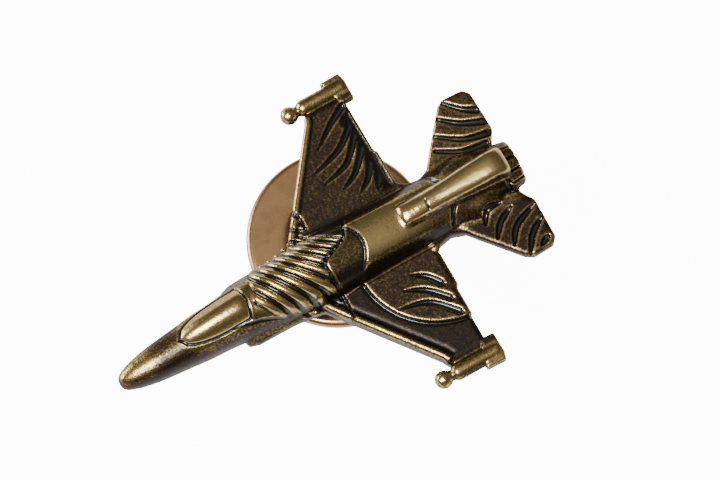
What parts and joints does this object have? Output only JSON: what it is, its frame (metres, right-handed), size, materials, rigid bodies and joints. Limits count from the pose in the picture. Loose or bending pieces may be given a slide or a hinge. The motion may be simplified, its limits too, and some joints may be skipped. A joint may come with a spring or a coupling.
{
  "type": "aircraft lapel pin",
  "caption": "Cast jet aircraft lapel pin in antique bronze, on a pointed needle with a removable squeeze-wing clutch.",
  "frame": {"origin": "on the casting's flat back, on the aircraft's centreline, 0.39 mm ahead of the needle", "axes": "+X towards the aircraft's nose, +Y towards its left (port) wing, +Z out of the garment towards the viewer"},
  "size_m": [0.0287, 0.0218, 0.0123],
  "materials": {
    "antique_bronze": "antiqued, bright on the high points and dark in the recesses",
    "needle_steel": "plain drawn wire",
    "solder_grey": "dull solder",
    "clutch_brass": "satin, warm copper brass",
    "spring_brass": "satin spring brass"
  },
  "bodies": {
    "aircraft": {"aircraft_casting": "antique_bronze", "post_pad": "needle_steel", "needle": "needle_steel", "solder_fillet": "solder_grey"},
    "clutch": {"clutch_base": "clutch_brass", "clutch_housing": "clutch_brass", "clutch_spring_leaf": "spring_brass"},
    "wing_front": {"clutch_wing_front": "spring_brass"},
    "wing_rear": {"clutch_wing_rear": "spring_brass"}
  },
  "joints": [
    {"name": "clutch_slide", "type": "slide", "parent": "aircraft", "child": "clutch", "axis": [0, 0, -1], "range_m": [0, 0.009]},
    {"name": "wing_front_pinch", "type": "hinge", "parent": "clutch", "child": "wing_front", "pos_m": [0.00206, -0.00229, -0.00435], "axis": [0, 1, 0], "range_deg": [0, 12]},
    {"name": "wing_rear_pinch", "type": "hinge", "parent": "clutch", "child": "wing_rear", "pos_m": [-0.00284, -0.00229, -0.00435], "axis": [0, -1, 0], "range_deg": [0, 12]}
  ],
  "couplings": [
    {"joint": "wing_rear_pinch", "follows": "wing_front_pinch", "ratio": 1}
  ]
}
